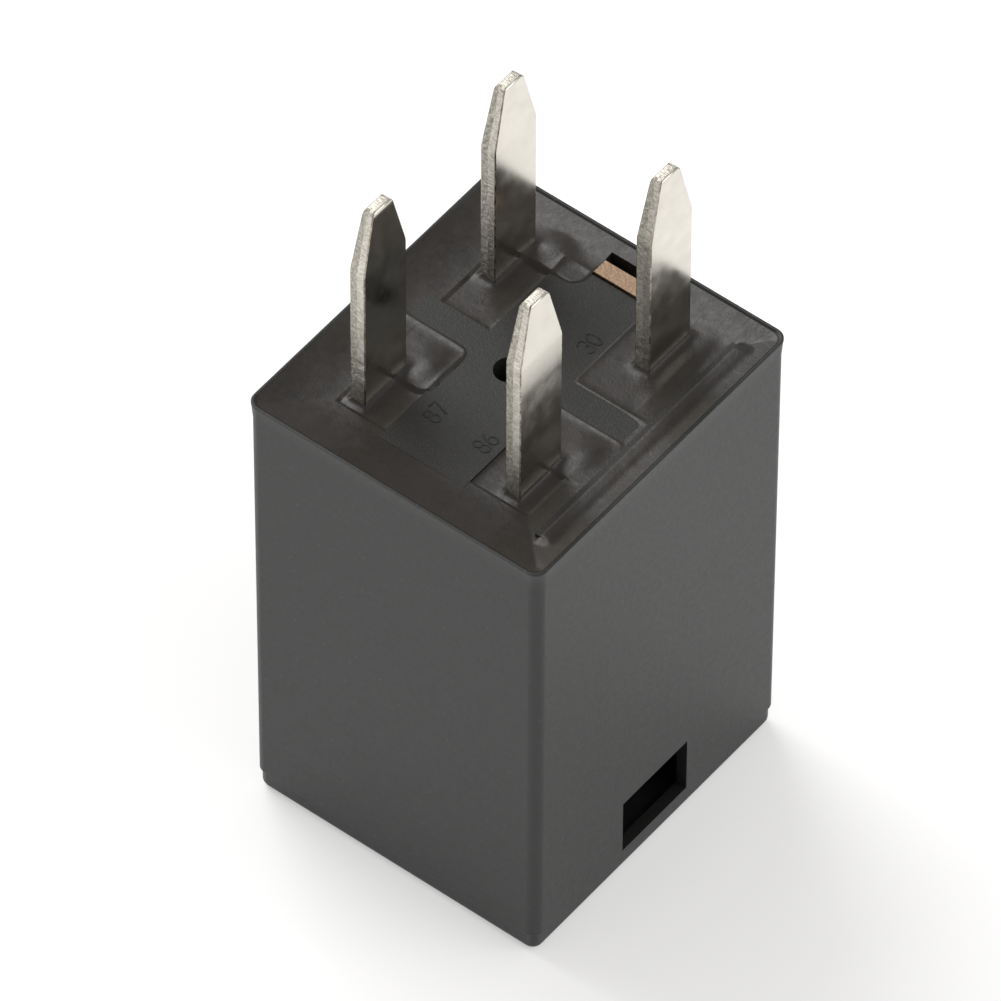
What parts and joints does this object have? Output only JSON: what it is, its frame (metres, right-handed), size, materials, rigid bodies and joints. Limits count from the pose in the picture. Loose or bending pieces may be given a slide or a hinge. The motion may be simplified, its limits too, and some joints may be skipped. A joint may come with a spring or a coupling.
{
  "type": "automotive relay",
  "caption": "Rectangular plug-in relay for a vehicle fuse box: potted plastic cover, base with flat blade terminals, and a hinged armature that closes a contact when the coil pulls it.",
  "frame": {"origin": "bottom centre of the closed end of the cover, the flat face that the relay stands on", "axes": "+Z towards the blades; +X towards the side with terminals 30 and 86; +Y towards the side with terminals 30 and 85"},
  "size_m": [0.0156, 0.017, 0.0362],
  "materials": {
    "cover_plastic": "fine matte moulded, dark grey",
    "base_plastic": "spark-grained, dark grey",
    "epoxy": "satin cast epoxy, brownish black",
    "tin_plate": "satin tin plating on copper alloy",
    "magnet_steel": "zinc plated soft iron",
    "bobbin_plastic": "natural glass-filled nylon",
    "copper_wire": "enamelled copper wire",
    "solder": "bright solder",
    "spring_alloy": "rolled copper alloy strip",
    "contact_silver": "silver alloy",
    "rivet_brass": "plain brass"
  },
  "bodies": {
    "root": {"cover": "cover_plastic", "base": "base_plastic", "potting": "epoxy", "terminal_30": "tin_plate", "terminal_85": "tin_plate", "terminal_86": "tin_plate", "terminal_87": "tin_plate", "yoke": "magnet_steel", "core": "magnet_steel", "bobbin": "bobbin_plastic", "winding": "copper_wire", "coil_lead_85": "copper_wire", "coil_lead_86": "copper_wire", "solder_85": "solder", "solder_86": "solder", "contact_spring": "spring_alloy", "fixed_contact": "contact_silver", "yoke_rivets": "rivet_brass"},
    "armature": {"armature": "magnet_steel", "moving_contact": "contact_silver", "armature_rivets": "rivet_brass"}
  },
  "joints": [
    {"name": "armature_pivot", "type": "hinge", "parent": "root", "child": "armature", "pos_m": [0, 0.00639, 0.0042], "axis": [-1, 0, 0], "range_deg": [0, 3.5], "stiffness_Nm_per_rad": 0.001, "springref_deg": -9.74, "deforming": ["contact_spring"]}
  ]
}
